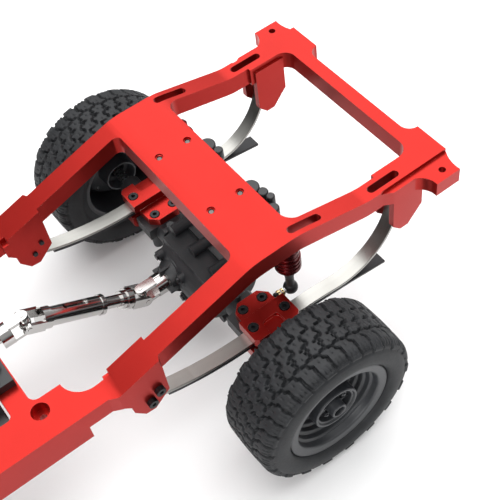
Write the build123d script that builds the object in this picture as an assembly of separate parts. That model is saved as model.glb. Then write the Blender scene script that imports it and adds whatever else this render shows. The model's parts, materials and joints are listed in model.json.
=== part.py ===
from build123d import *
import math
import os

# Leaf-sprung four wheel robot chassis, millimetres.
# +X points to the front, +Y to the left, +Z up.
# Everything is laid out from the middle of the rear axle, on the ground. save() then moves
# it so that the origin is on the ground under the middle of the whole chassis.

# ---------------------------------------------------------------- driving dimensions
WHEELBASE = 212.0          # rear axle to front axle
AXLE_Z = 33.4              # axle centre above the ground
TYRE_R = 33.4              # tyre outer radius
TYRE_W = 28.7              # tyre width
WHEEL_Y = 70.2             # wheel centre plane from the middle
RIM_R = 20.6               # bead radius of the wheel
AXLE_XS = {"rear": 0.0, "front": WHEELBASE}
SIDES = {"left": 1, "right": -1}

PLATE = 8.0                # thickness of the frame, measured vertically
END_Z = 79.2               # frame top over the rear end
ARCH_Z = 86.4              # frame top over an axle
MID_Z = 67.5               # frame top between the axles
RAIL_Y = 45.0              # outer face of the rails
RAIL_IN = 37.7             # inner face of the rails
REAR_X = -82.9             # rear end of the frame
FRONT_X = 280.0            # front end of the frame

LEAF_Y = 41.1              # middle plane of the leaf springs
LEAF_W = 6.0
LEAF_T = 1.2
HANGER_GAP = 6.6           # slot between the two cheeks of a spring hanger
HANGER_OUT = 46.9          # outer face of the hangers
HANGER_IN = 35.3           # inner face of the hangers
FRONT_HANGER_BOLTS = [(49.1, 57.7), (53.0, 53.8)]
REAR_HANGER_BOLTS = [(-64.6, 64.6), (-64.6, 57.6)]

CLAMP_X = -1.2             # middle of the spring clamps, from the axle centre
CLAMP_OUT_PITCH = 14.4     # outer pair of clamp bolts, through the leaves
CLAMP_IN_PITCH = 8.9       # inner pair of clamp bolts, into the axle
CLAMP_IN_Y = 30.3
BOLT_R = 1.0               # M2 screws
HEAD_R = 1.9
HEAD_H = 1.9

PINION_Y = -6.0            # the pinion line lies right of the middle
JOINT_X = 27.1             # universal joint at the axle, from the axle centre
OUTPUT_Z = 59.7            # height of the gearbox output shaft
OUTPUT_X = 72.0            # universal joint at the gearbox, from the axle centre
MID_X = WHEELBASE / 2

SHOCK_X = -17.5            # shock absorber axis, from the axle centre
SHOCK_SCREW = 6.0          # its screw stands this far ahead of the axis
SHOCK_Y = 32.5

KINGPIN_Y = 54.0
ARM_X = 20.0               # steering arm length
TIE_Z = 26.0               # tie rod height
HORN_R = 13.0              # servo horn length, the same as the drag link arm
DRAG_Z = 43.5              # drag link height
SERVO_Y = 22.0             # servo output shaft, beside the front gear case
SERVO_Y0 = 16.4            # servo side face
SERVO_X0, SERVO_X1 = -5.0, 18.0
SERVO_Z0 = 49.4            # underside of the servo
BRACKET_SCREW_Y = (-12.5, 12.5)
FIT = 0.05                 # running fit, radial


# ---------------------------------------------------------------- helpers
def save(name, *solids):
    """Write one node; several solids make one group of separate pieces."""
    solids = [Pos(-(REAR_X + FRONT_X) / 2, 0, 0) * s for s in solids]
    shape = solids[0] if len(solids) == 1 else Compound(children=solids)
    shape.label = name
    export_step(shape, f"parts/{name}.step")


def cyl(r, p, q):
    """A cylinder of radius r from point p to point q."""
    p, q = Vector(*p), Vector(*q)
    plane = Plane(p, z_dir=q - p)
    return plane * Cylinder(r, (q - p).length, align=(Align.CENTER, Align.CENTER, Align.MIN))


def tube(r_out, r_in, p, q):
    """A hollow cylinder from point p to point q."""
    return cyl(r_out, p, q) - cyl(r_in, p, q)


def block(x0, x1, y0, y1, z0, z1):
    """A box between two corners."""
    return Pos((x0 + x1) / 2, (y0 + y1) / 2, (z0 + z1) / 2) * Box(x1 - x0, y1 - y0, z1 - z0)


def side_plate(points, y0, y1):
    """An outline drawn in X and Z, made solid from y0 to y1."""
    face = Plane.XZ * Polygon(*points, align=None)
    return Pos(0, y0, 0) * extrude(face, y1 - y0, dir=(0, 1, 0))


def flip(shape):
    """The same piece on the other side of the chassis."""
    return mirror(shape, about=Plane.XZ)


def both_sides(shape):
    return [shape, flip(shape)]


def at_axle(shape, end):
    return Pos(AXLE_XS[end], 0, 0) * shape


def revolve_y(points, y):
    """Turn an outline of (radius, offset) points about the wheel axis at height AXLE_Z."""
    face = Plane.XZ * Polygon(*points, align=None)
    turned = revolve(face, axis=Axis.Z)
    return Pos(0, y, AXLE_Z) * Rot(-90, 0, 0) * turned


def cap_screw(p, direction, length):
    """A socket head cap screw: the head stands on p, the shank runs along direction."""
    d = Vector(*direction).normalized()
    p = Vector(*p)
    screw = cyl(HEAD_R, p - d * HEAD_H, p) + cyl(BOLT_R, p, p + d * length)
    socket = Plane(p - d * HEAD_H, z_dir=d) * extrude(RegularPolygon(0.85, 6), 1.1)
    return screw - socket


def gear(r_pitch, teeth, width, bore):
    """A spur gear about Z with straight sided teeth, lying on the XY plane."""
    module = 2 * r_pitch / teeth
    half = math.pi * r_pitch / teeth / 2
    body = Circle(r_pitch - module)
    tooth = Polygon(
        (r_pitch - 1.3 * module, -half * 1.0), (r_pitch, -half * 0.7),
        (r_pitch + 0.6 * module, -half * 0.35), (r_pitch + 0.6 * module, half * 0.35),
        (r_pitch, half * 0.7), (r_pitch - 1.3 * module, half * 1.0), align=None)
    for k in range(teeth):
        body += Rot(0, 0, k * 360 / teeth) * tooth
    return extrude(body - Circle(bore), width)


# ---------------------------------------------------------------- chassis frame
def frame_profile():
    """The kicked-up side view of the frame, the full width of the chassis."""
    top = [(-90, END_Z), (-46, END_Z), (-15, ARCH_Z), (4, ARCH_Z), (64, MID_Z), (112, MID_Z),
           (141, END_Z), (166, END_Z), (197, ARCH_Z), (216, ARCH_Z), (276, MID_Z), (300, MID_Z)]
    face = Polygon(*top, *[(x, z - PLATE) for x, z in reversed(top)], align=None)
    bends = [v for v in face.vertices() if -80 < v.X < 290]
    return extrude(Plane.XZ * fillet(bends, 24), 70, both=True)


def half_outline():
    """Plan view of the left half of the frame, from the rear end to the front end."""
    out = HANGER_OUT
    edges = [
        Line((-78.3, 0), (-78.3, 25)),
        ThreePointArc((-78.3, 25), (-79.9, 28.6), (REAR_X, 29.7)),
        Line((REAR_X, 29.7), (REAR_X, 44.8)),
        ThreePointArc((REAR_X, 44.8), (-81.2, 49.0), (-81.0, 54.1)),
        Line((-81.0, 54.1), (-70.0, 54.1)),
        ThreePointArc((-70.0, 54.1), (-69.2, 50.0), (-66.0, out)),
    ]
    edges += Polyline(
        (-66, out), (-56.2, out), (-53, RAIL_Y), (45.0, RAIL_Y), (45.9, out), (62.8, out),
        (66, RAIL_Y), (143, RAIL_Y), (146, out), (155.8, out), (159, RAIL_Y), (257, RAIL_Y),
        (257.9, out), (267, out)).edges()
    edges += [
        ThreePointArc((267, out), (268.3, 50.2), (268.5, 54.1)),
        Line((268.5, 54.1), (278.6, 54.1)),
        ThreePointArc((278.6, 54.1), (278.8, 49.0), (FRONT_X, 44.8)),
        Line((FRONT_X, 44.8), (FRONT_X, 29.7)),
        ThreePointArc((FRONT_X, 29.7), (278.2, 28.6), (276.8, 25)),
        Line((276.8, 25), (276.8, 0)),
        Line((276.8, 0), (-78.3, 0)),
    ]
    return make_face(edges)


def window(*spans, radius=4.0):
    """A through window: spans are (x0, x1, half width), with rounded outer corners."""
    shape = None
    for x0, x1, half in spans:
        piece = Pos((x0 + x1) / 2, 0) * Rectangle(x1 - x0, 2 * half)
        shape = piece if shape is None else shape + piece
    ends = (spans[0][0], spans[-1][1])
    corners = [v for v in shape.vertices() if min(abs(v.X - e) for e in ends) < 0.01]
    return fillet(corners, radius)


def frame_windows():
    scallop_r = 8.5
    rear = window((-72.8, -54.4, 36.3), (-54.5, -16.0, RAIL_IN), radius=5)
    belly = window((6.4, 45.4, 37.0), (45.3, 60.6, HANGER_IN), (60.5, 67.0, RAIL_IN),
                   (66.9, 75.4, 29.2), (75.3, 86.4, 29.4), radius=3)
    belly += Pos(67, 29.2) * Circle(scallop_r)
    belly += Pos(67, -29.2) * Circle(scallop_r)
    gearbox = window((94.2, 150.0, 30.4), radius=2)
    front = window((158.0, 196.0, RAIL_IN))
    nose = window((218.4, 257.6, 37.0), (257.5, 270.6, HANGER_IN), radius=4)
    return [rear, belly, gearbox, front, nose]


def hanger_outline(kind):
    """Side view of a spring hanger, from the axle centre."""
    if kind == "front":
        return [(45.4, 68), (45.4, 54), (52.2, 47.9), (56.2, 48.3), (59.8, 53.4), (60.0, 57.2),
                (62.8, 60.2), (62.8, 66)]
    return [(-56.2, 77), (-56.2, 57.5), (-59.7, 53.7), (-63.4, 53.7), (-70.0, 61.0), (-70.0, 77)]


def hangers():
    """The two cheeks of each hanger, closed at the top by the rail."""
    gap0 = LEAF_Y - HANGER_GAP / 2
    gap1 = LEAF_Y + HANGER_GAP / 2
    cheeks = []
    for end in AXLE_XS:
        for kind in ("front", "rear"):
            outline = hanger_outline(kind)
            for y0, y1 in ((HANGER_IN, gap0), (gap1, HANGER_OUT)):
                cheeks += both_sides(at_axle(side_plate(outline, y0, y1), end))
    return cheeks


def belly_skirts():
    """The deeper outer walls of the rails beside the gearbox."""
    outline = [(75.2, 53.0), (128, 53.0), (146, 70), (138, 72), (112, 62), (75.2, 62)]
    return both_sides(side_plate(outline, RAIL_IN, RAIL_Y))


def chassis_frame():
    plan = half_outline()
    plan += mirror(plan, about=Plane.XZ)
    for hole in frame_windows():
        plan -= hole
    for end in AXLE_XS:
        for x, length in ((-55.7, 14.0), (-20.2, 14.0)):
            for y in (41.3, -41.3):
                plan -= Pos(x + AXLE_XS[end], y) * SlotOverall(length, 3.2)
    body = extrude(plan, 100) & frame_profile()
    for piece in belly_skirts() + hangers():
        body += piece
    # the ears sit a step lower than the corner pads
    for side in SIDES.values():
        body -= block(-90, -52, min(44.6 * side, 60 * side), max(44.6 * side, 60 * side),
                      END_Z - 1.5, END_Z + 5)
        for x in (-76.0, 273.6):
            body -= cyl(1.35, (x, 50.2 * side, 50), (x, 50.2 * side, 90))
        for x in (85.7, WHEELBASE - 58.0):
            body -= cyl(1.25, (x, 34.0 * side, 40), (x, 34.0 * side, 90))
        body -= cyl(3.3, (85.7, 34.0 * side, MID_Z - 4.5), (85.7, 34.0 * side, 90))
        for end in AXLE_XS.values():
            for x in (-11.5, 1.0):
                point = (x + end, 16.4 * side, 70)
                body -= cyl(1.1, point, (x + end, 16.4 * side, 90))
                body -= cyl(1.6, (x + end, 16.4 * side, ARCH_Z - 0.7), (x + end, 16.4 * side, 90))
            # hole of the shock screw in the arch plate
            x = SHOCK_X + SHOCK_SCREW + end
            body -= cyl(BOLT_R, (x, SHOCK_Y * side, 70), (x, SHOCK_Y * side, ARCH_Z - 2.5))
            for x, z in FRONT_HANGER_BOLTS:
                body -= cyl(BOLT_R, (x + end, 30 * side, z), (x + end, 50 * side, z))
            start, stop = (30, 45.6) if side > 0 else (-50, -36.6)
            for x, z in REAR_HANGER_BOLTS:
                body -= cyl(BOLT_R, (x + end, start, z), (x + end, stop, z))
    # notch for the output shaft, tapped holes of the gearbox bracket
    body -= cyl(3.6, (80, PINION_Y, OUTPUT_Z), (CASE_X0, PINION_Y, OUTPUT_Z))
    for y in BRACKET_SCREW_Y:
        body -= cyl(BOLT_R, (90.3, y, 50), (90.3, y, 80))
    return body


def hanger_hardware():
    """Cap screws in the hangers: heads outside in front, all from the right behind."""
    screws = []
    for end in AXLE_XS:
        for x, z in FRONT_HANGER_BOLTS:
            screws += both_sides(at_axle(cap_screw((x, HANGER_OUT, z), (0, -1, 0), 12.4), end))
        for x, z in REAR_HANGER_BOLTS:
            for y in (HANGER_IN, -HANGER_OUT):
                screws.append(at_axle(cap_screw((x, y, z), (0, 1, 0), 10.2), end))
    return screws


# ---------------------------------------------------------------- leaf springs
def leaf(line_edges, thickness):
    """A strip of spring steel that follows a line in X and Z."""
    ribbon = trace(Wire(line_edges), thickness)
    return Pos(0, LEAF_Y - LEAF_W / 2, 0) * extrude(Plane.XZ * ribbon, LEAF_W, dir=(0, 1, 0))


def leaf_line(drop):
    """Middle line of a leaf from its front tip to the rear end of its flat seat."""
    seat = Line((10, 40.2 - drop), (-14, 39.9 - drop))
    nose = TangentArc((10, 40.2 - drop), (57.5, 52.2 - drop), tangent=(24, 0.3))
    return [nose, seat]


def main_leaf():
    """The silver leaf from the front hanger, through the clamp, up into the rear hanger."""
    dip = TangentArc((-14, 39.9), (-30, 38.6), tangent=(-24, -0.3))
    tail = TangentArc((-30, 38.6), (-60.6, 63.5), tangent=dip % 1)
    return leaf(leaf_line(0) + [dip, tail], LEAF_T) - clamp_bolt_holes()


def helper_leaf():
    """The black leaf under it: its front half hugs the main leaf, its rear half stays flat."""
    drop = LEAF_T + 0.12
    tail = Line((-14, 39.9 - drop), (-54.7, 34.2))
    blank = leaf(leaf_line(drop) + [tail], LEAF_T) & block(-60, 45.6, 30, 50, 20, 70)
    return blank - clamp_bolt_holes()


def clamp_bolt_holes():
    holes = None
    for s in (-1, 1):
        x = CLAMP_X + s * CLAMP_OUT_PITCH / 2
        hole = cyl(BOLT_R + 0.1, (x, LEAF_Y, 20), (x, LEAF_Y, 60))
        holes = hole if holes is None else holes + hole
    return holes


# ---------------------------------------------------------------- spring clamps on the axle
CLAMP_TOP = 45.2           # raised outer half of the clamp
CLAMP_STEP = 41.5          # lower inner half
LEAF_TOP = 41.0
HELPER_LOW = 37.85


def spring_clamp():
    """The red top block: raised over the leaf, with a pocket open to the outside."""
    outer = Pos(CLAMP_X, 0) * Polygon(
        (-10.2, 36), (-10.2, 45.6), (-8.8, 47.1), (8.8, 47.1), (10.2, 45.6), (10.2, 36), align=None)
    inner = Pos(CLAMP_X, 0) * Polygon(
        (-8.0, 37), (-7.8, 30), (-4.6, 26.6), (4.6, 26.6), (7.8, 30), (8.0, 37), align=None)
    high = Pos(0, 0, LEAF_TOP) * extrude(outer, CLAMP_TOP - LEAF_TOP, dir=(0, 0, 1))
    low = Pos(0, 0, HELPER_LOW) * extrude(inner, CLAMP_STEP - HELPER_LOW, dir=(0, 0, 1))
    low -= block(-30, 30, 36.9, 60, 20, LEAF_TOP)
    body = high + low
    pocket = Pos(CLAMP_X, 43.2) * (Rectangle(7.4, 4.0) + Pos(0, 3) * Rectangle(7.4, 6))
    pocket = fillet(pocket.vertices().group_by(Axis.Y)[0], 1.6)
    body -= Pos(0, 0, CLAMP_TOP - 1.8) * extrude(pocket, 5)
    for x, y, z in clamp_bolts():
        body -= cyl(BOLT_R + 0.1, (x, y, 20), (x, y, 60))
        body -= cyl(HEAD_R + 0.25, (x, y, z), (x, y, 60))
    # the ball stud is screwed into the rear face
    body -= cyl(1.0, (SHOCK_X, SHOCK_Y, 39.6), (0, SHOCK_Y, 39.6))
    return body


def clamp_bolts():
    """Seats of the four screws: (x, y, height of the head seat)."""
    outer = [(CLAMP_X + s * CLAMP_OUT_PITCH / 2, LEAF_Y, CLAMP_TOP - 1.6) for s in (-1, 1)]
    inner = [(CLAMP_X + s * CLAMP_IN_PITCH / 2, CLAMP_IN_Y, CLAMP_STEP - 1.6) for s in (-1, 1)]
    return outer + inner


def spring_seat():
    """The red saddle under the leaves, astride the axle tube."""
    outline = [(-12, HELPER_LOW), (-12, 33), (-10.6, 31.6), (-7.4, 31.6), (-6.6, 32.6), (6.2, 32.6),
               (7.0, 31.6), (9.2, 31.6), (10.4, 33), (10.4, HELPER_LOW)]
    body = side_plate(outline, 37.2, 46.4)
    body -= cyl(5.05, (0, 30, AXLE_Z), (0, 50, AXLE_Z))
    for x, y, z in clamp_bolts()[:2]:
        body -= cyl(BOLT_R, (x, y, 20), (x, y, 60))
    return body


def ball_stud():
    """Threaded ball stud in the rear face of the clamp, carrying the shock absorber."""
    ball = Pos(SHOCK_X, SHOCK_Y, 39.6) * Rot(0, 90, 0) * Sphere(2.0)
    neck = cyl(0.95, (SHOCK_X + 1, SHOCK_Y, 39.6), (-6.5, SHOCK_Y, 39.6))
    collar = cyl(1.7, (-12.4, SHOCK_Y, 39.6), (-11.5, SHOCK_Y, 39.6))
    collar += cyl(1.5, (-10.9, SHOCK_Y, 39.6), (-10.1, SHOCK_Y, 39.6))
    return ball + neck + collar


# ---------------------------------------------------------------- shock absorbers
def shock_body(side):
    """Grooved aluminium cylinder, open at the bottom, on a screw under the arch plate."""
    x, y = SHOCK_X, SHOCK_Y * side
    body = cyl(5.1, (x, y, 54.0), (x, y, 60.0)) + cyl(4.7, (x, y, 59.0), (x, y, 72.6))
    body += cyl(3.0, (x, y, 72.0), (x, y, 77.7))
    body += block(x - 0.5, x + SHOCK_SCREW + 2.6, y - 2.8, y + 2.8, 75.0, 77.7)
    for z in (56.0, 58.0, 62.0, 64.5, 67.0, 69.5):
        body -= tube(6.0, 4.55, (x, y, z), (x, y, z + 0.8))
    body -= cyl(3.9, (x, y, 50), (x, y, 71.8))
    body -= cyl(BOLT_R, (x + SHOCK_SCREW, y, 70), (x + SHOCK_SCREW, y, 80))
    return body


def shock_screw(side):
    return cap_screw((SHOCK_X + SHOCK_SCREW, SHOCK_Y * side, 75.0), (0, 0, 1), ARCH_Z - 3 - 75.0)


def shock_rod(side):
    """Black rod end on the ball stud, with its rod up inside the cylinder."""
    x, y, z = SHOCK_X, SHOCK_Y * side, 39.6
    end = Pos(x, y, z) * Sphere(2.9)
    end += cyl(1.7, (x, y, z), (x, y, 46.5))
    cone = Pos(x, y, 48.75) * Cone(1.7, 2.6, 4.5)
    end += cone
    end += cyl(2.6, (x, y, 50.9), (x, y, 55.0)) + cyl(1.0, (x, y, 50), (x, y, 63.0))
    end += cyl(2.6, (x, y, 62.4), (x, y, 64.0))
    end -= Pos(x, y, z) * Rot(0, 90, 0) * Sphere(2.0 + FIT)
    end -= cyl(1.55, (x, y, z), (x + 6, y, z))
    return end


# ---------------------------------------------------------------- axle housings
CASE_R = 13.6              # gear case radius
CASE_Y0, CASE_Y1 = -14.0, 15.0
WALL = 1.8
TUBE_R = 4.6
TUBE_END = {"rear": 57.5, "front": 48.0}
SHAFT_R = 2.0


def gear_case():
    """Front shell of the gear case with the pinion nose; the cover closes it from behind."""
    case = cyl(CASE_R, (0, CASE_Y0, AXLE_Z), (0, CASE_Y1, AXLE_Z))
    case += block(-1, 9, CASE_Y0, CASE_Y1, AXLE_Z - 10, AXLE_Z + CASE_R)
    nose = cyl(7.4, (8, PINION_Y, AXLE_Z), (15.6, PINION_Y, AXLE_Z))
    nose += cyl(8.4, (9, PINION_Y, AXLE_Z), (11.4, PINION_Y, AXLE_Z))
    case += nose + (cover_rim() & block(-4.0, -1.0, CASE_Y0, CASE_Y1, 0, 80))
    for y, z in cover_screw_places():
        case += cyl(2.3, (-4.0, y, z), (5.0, y, z))
    case -= block(-40, -4.0, -26, 26, 0, 80)
    case -= cyl(CASE_R - WALL, (0, CASE_Y0 + WALL, AXLE_Z), (0, CASE_Y1 - WALL, AXLE_Z))
    case -= cyl(5.0, (8, PINION_Y, AXLE_Z), (16, PINION_Y, AXLE_Z))
    for y, z in cover_screw_places():
        case -= cyl(BOLT_R, (-6, y, z), (4, y, z))
    return case


def cover_rim():
    return tube(15.4, 11, (0, CASE_Y0, AXLE_Z), (0, CASE_Y1, AXLE_Z))


def spring_pad():
    """Flat pad on the axle tube under the inner half of a spring clamp."""
    pad = block(-9, 9, 26.8, 36.6, AXLE_Z - 1.0, HELPER_LOW)
    pad += cyl(6.2, (0, 22, AXLE_Z), (0, 36.6, AXLE_Z)) & block(-9, 9, 20, 40, 20, HELPER_LOW)
    return pad


def axle_housing(end):
    """Gear case, axle tubes and spring pads in one moulding."""
    reach = TUBE_END[end]
    body = cyl(TUBE_R, (0, CASE_Y1, AXLE_Z), (0, reach, AXLE_Z))
    body += cyl(TUBE_R, (0, CASE_Y0, AXLE_Z), (0, -reach, AXLE_Z))
    body += cyl(8.0, (0, CASE_Y0 - 3, AXLE_Z), (0, CASE_Y0, AXLE_Z)) & block(-4, 20, -60, 60, 0, 80)
    body += cyl(8.0, (0, CASE_Y1, AXLE_Z), (0, CASE_Y1 + 3, AXLE_Z)) & block(-4, 20, -60, 60, 0, 80)
    body = toward(body + gear_case(), end)
    for pad in both_sides(spring_pad()):
        body += pad
    if end == "front":
        for yoke in both_sides(yoke_end()):
            body += yoke
        body += block(SERVO_X0, 3.9, CASE_Y1 - 1.5, SERVO_Y0, 40.0, 62.0)
        body -= cyl(BOLT_R, (-5.0, CASE_Y1 - 1.4, AXLE_Z + 15.6), (5, CASE_Y1 - 1.4, AXLE_Z + 15.6))
    for s in (1, -1):
        body -= block(-9, 9, min(26.6 * s, 36.9 * s), max(26.6 * s, 36.9 * s), HELPER_LOW, 39)
        for x, y, z in clamp_bolts()[2:]:
            body -= cyl(BOLT_R, (x, y * s, HELPER_LOW - 2.0), (x, y * s, 60))
    body -= cyl(3.0, (0, -60, AXLE_Z), (0, -CASE_R + 4, AXLE_Z))
    body -= cyl(3.0, (0, 60, AXLE_Z), (0, CASE_R - 4, AXLE_Z))
    if end == "rear":
        for s in (1, -1):
            body -= cyl(4.0, (0, 53.5 * s, AXLE_Z), (0, 60 * s, AXLE_Z))
    return body


def wheel_bearing(side):
    return tube(4.0, SHAFT_R + 0.02, (0, 53.5 * side, AXLE_Z), (0, 57.3 * side, AXLE_Z))


def cover_screw_places():
    """Six screws around the gear case cover: (y, z)."""
    ys = (CASE_Y0 + 1.4, (CASE_Y0 + CASE_Y1) / 2, CASE_Y1 - 1.4)
    return [(y, AXLE_Z + s * 15.6) for y in ys for s in (-1, 1)]


def diff_cover():
    """Domed rear cover of the gear case."""
    shell = cyl(CASE_R, (0, CASE_Y0, AXLE_Z), (0, CASE_Y1, AXLE_Z))
    shell += cyl(11.6, (-6.4, CASE_Y0 + 3, AXLE_Z), (-6.4, CASE_Y1 - 3, AXLE_Z))
    shell += cover_rim() & block(-7.0, -4.0, CASE_Y0, CASE_Y1, 0, 80)
    for y, z in cover_screw_places():
        shell += cyl(2.3, (-7.4, y, z), (-4.0, y, z))
    shell -= block(-4.0, 40, -30, 30, 0, 80)
    shell -= cyl(CASE_R - WALL, (0, CASE_Y0 + WALL, AXLE_Z), (0, CASE_Y1 - WALL, AXLE_Z))
    shell -= cyl(9.8, (-6.4, CASE_Y0 + 3 + WALL, AXLE_Z), (-6.4, CASE_Y1 - 3 - WALL, AXLE_Z))
    for y, z in cover_screw_places():
        shell -= cyl(BOLT_R, (-10, y, z), (0, y, z))
    return shell


def clamp_screws():
    """Screws of both spring clamps: through the leaves, and into the axle pads."""
    screws = []
    for x, y, z in clamp_bolts()[:2]:
        screws += both_sides(cap_screw((x, y, z), (0, 0, -1), z - 32.9))
    for x, y, z in clamp_bolts()[2:]:
        screws += both_sides(cap_screw((x, y, z), (0, 0, -1), z - HELPER_LOW + 1.8))
    return screws


def cover_screws():
    return [cap_screw((-7.4, y, z), (1, 0, 0), 11.0) for y, z in cover_screw_places()]


def toward(shape, end):
    """The pinion of the rear axle looks forward, that of the front axle rearward."""
    return shape if end == "rear" else mirror(shape, about=Plane.YZ)


# ---------------------------------------------------------------- running gear
RING_R = 10.4
RING_TEETH = 26
RING_SIDE = {"rear": 1, "front": -1}


def ring_gear(side):
    """Face gear beside the pinion line; side says which side of the line it lies on."""
    disc = Pos(0, 0, 0.75) * Cylinder(RING_R, 1.5)
    for k in range(RING_TEETH):
        disc += Rot(0, 0, k * 360 / RING_TEETH) * (Pos(8.9, 0, -0.3) * Box(2.6, 1.1, 1.0))
    disc += Cylinder(4.4, 3.0)
    return Pos(0, PINION_Y + 4.5 * side, AXLE_Z) * Rot(-90 * side, 0, 0) * disc


def pinion_yoke():
    """Pinion gear and shaft with the chrome fork of the universal joint."""
    y, z = PINION_Y, AXLE_Z
    shaft = cyl(SHAFT_R - 0.3, (4.0, y, z), (20.0, y, z))
    head = Rot(0, 90, 0) * gear(2.9, 10, 3.4, 0.5)
    head = Pos(6.8, y, z) * head
    hub = cyl(4.5, (16.4, y, z), (21.2, y, z))
    return shaft + head + hub + fork((JOINT_X, y, z), (-1, 0, 0), (0, 0, 1))


def fork(centre, back, pin):
    """Two arms that reach from the hub, lying along back, to the pins of a joint."""
    c, b, p = Vector(*centre), Vector(*back).normalized(), Vector(*pin).normalized()
    plane = Plane(c, x_dir=p, z_dir=b)
    arms = None
    for s in (-1, 1):
        flat = Pos(s * 3.8, 0, 3.2) * Box(1.4, 4.2, 6.6)
        tip = Pos(s * 3.8, 0, 0) * Rot(0, 90, 0) * Cylinder(2.1, 1.4)
        stub = Pos(s * 3.65, 0, 0) * Rot(0, 90, 0) * Cylinder(0.9, 2.1)
        arm = flat + tip + stub
        arms = arm if arms is None else arms + arm
    return plane * arms


def shaft_axis(end="rear"):
    """Centres of the two universal joints and the direction from gearbox to axle."""
    g = Vector(OUTPUT_X, PINION_Y, OUTPUT_Z)
    p = Vector(JOINT_X, PINION_Y, AXLE_Z)
    return g, p, (p - g).normalized()


def joint_ball():
    """Centre block of the joint at the gearbox."""
    g, p, d = shaft_axis()
    return Pos(g) * Sphere(2.3)


def shaft_sleeve():
    """Outer half of the telescopic drive shaft, with a long window and a collar."""
    g, p, d = shaft_axis()
    end = g + d * 33.0
    body = cyl(4.3, g + d * 6.2, g + d * 9.6) + cyl(3.7, g + d * 9.0, end)
    body += cyl(4.1, g + d * 31.5, end)
    body -= cyl(2.5, g + d * 11.5, g + d * 40)
    mid = Plane(g + d * 20.5, x_dir=d, z_dir=Vector(0, 1, 0).cross(d))
    slot = mid * extrude(SlotOverall(11, 2.4), 8, both=True)
    body -= slot
    body += fork(g, d, (0, 1, 0))
    return body


def shaft_spline():
    """Inner half of the drive shaft, sliding in the sleeve, with the fork at the axle."""
    g, p, d = shaft_axis()
    body = cyl(2.45, g + d * 17.0, p - d * 7.4)
    body += cyl(4.3, p - d * 8.8, p - d * 6.2)
    body += cyl(3.6, p - d * 11.0, p - d * 8.7)
    body += fork(p, -d, (0, 1, 0))
    body += Pos(p) * Sphere(1.9)
    body += cyl(0.9, p - Vector(0, 3.5, 0), p + Vector(0, 3.5, 0))
    return body


# ---------------------------------------------------------------- wheels
def tyre(y):
    """Plain body of the all-terrain tyre."""
    w, r = TYRE_W / 2, TYRE_R
    profile = [(RIM_R - 1.2, -w + 4.2), (RIM_R + 1.0, -w + 1.6), (26.0, -w), (30.6, -w + 1.2),
               (r - 0.6, -w + 3.6), (r, -w + 6), (r, w - 6), (r - 0.6, w - 3.6), (30.6, w - 1.2),
               (26.0, w), (RIM_R + 1.0, w - 1.6), (RIM_R - 1.2, w - 4.2)]
    return revolve_y(profile, y)


def wheel_disc(y, side):
    """One-piece black wheel: stepped barrel, dished centre with small holes, hub."""
    w = TYRE_W / 2 - 4.4
    out = side
    barrel = [(17.4, -w * out), (RIM_R - 1.25, -w * out), (RIM_R - 1.25, w * out), (18.2, w * out),
              (17.6, (w - 3.0) * out), (16.6, (w - 3.4) * out), (16.6, 4.6 * out), (17.4, 3.6 * out)]
    disc = [(3.0, -1.6 * out), (16.9, 3.6 * out), (16.9, 5.6 * out), (14.6, 5.0 * out),
            (13.4, 2.6 * out), (9.6, 1.6 * out), (8.4, 4.2 * out), (7.2, 5.2 * out), (3.0, 5.2 * out)]
    body = revolve_y(barrel, y) + revolve_y(disc, y)
    for k in range(10):
        a = math.radians(36 * k)
        p = (11.6 * math.cos(a), y - 8 * side, AXLE_Z + 11.6 * math.sin(a))
        q = (11.6 * math.cos(a), y + 8 * side, AXLE_Z + 11.6 * math.sin(a))
        body -= cyl(0.95, p, q)
    for k in range(5):
        a = math.radians(72 * k + 18)
        p = (5.6 * math.cos(a), y + 3.8 * side, AXLE_Z + 5.6 * math.sin(a))
        q = (5.6 * math.cos(a), y + 8 * side, AXLE_Z + 5.6 * math.sin(a))
        body -= cyl(0.7, p, q)
    body += cyl(6.6, (0, y - 6.6 * side, AXLE_Z), (0, y + 1 * side, AXLE_Z))
    body -= cyl(SHAFT_R, (0, y - 9 * side, AXLE_Z), (0, y + 9 * side, AXLE_Z))
    body -= cyl(3.6, (0, y + 2.2 * side, AXLE_Z), (0, y + 9 * side, AXLE_Z))
    return body


def inner_shaft(end, reach):
    """Axle shaft with the ring gear."""
    return cyl(SHAFT_R, (0, -reach, AXLE_Z), (0, reach, AXLE_Z)) + ring_gear(RING_SIDE[end])


def wheel_nut(side):
    seat = Plane((0, (WHEEL_Y + 2.2) * side, AXLE_Z), z_dir=(0, side, 0))
    return seat * extrude(RegularPolygon(3.2, 6), 2.0)


def rear_axle_shaft():
    return inner_shaft("rear", WHEEL_Y + 4.6) + wheel_nut(1) + wheel_nut(-1)


def stub_shaft(side):
    """Outer shaft of a front wheel: joint ball at the kingpin, bearing, wheel nut."""
    y = KINGPIN_Y * side
    shaft = cyl(SHAFT_R, (0, y, AXLE_Z), (0, (WHEEL_Y + 4.6) * side, AXLE_Z)) + wheel_nut(side)
    shaft += Pos(0, y, AXLE_Z) * Sphere(2.4)
    carrier = (KINGPIN_Y + 1.3) * side
    return shaft + cyl(3.95, (0, carrier, AXLE_Z), (0, (KINGPIN_Y + 3.6) * side, AXLE_Z))


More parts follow.
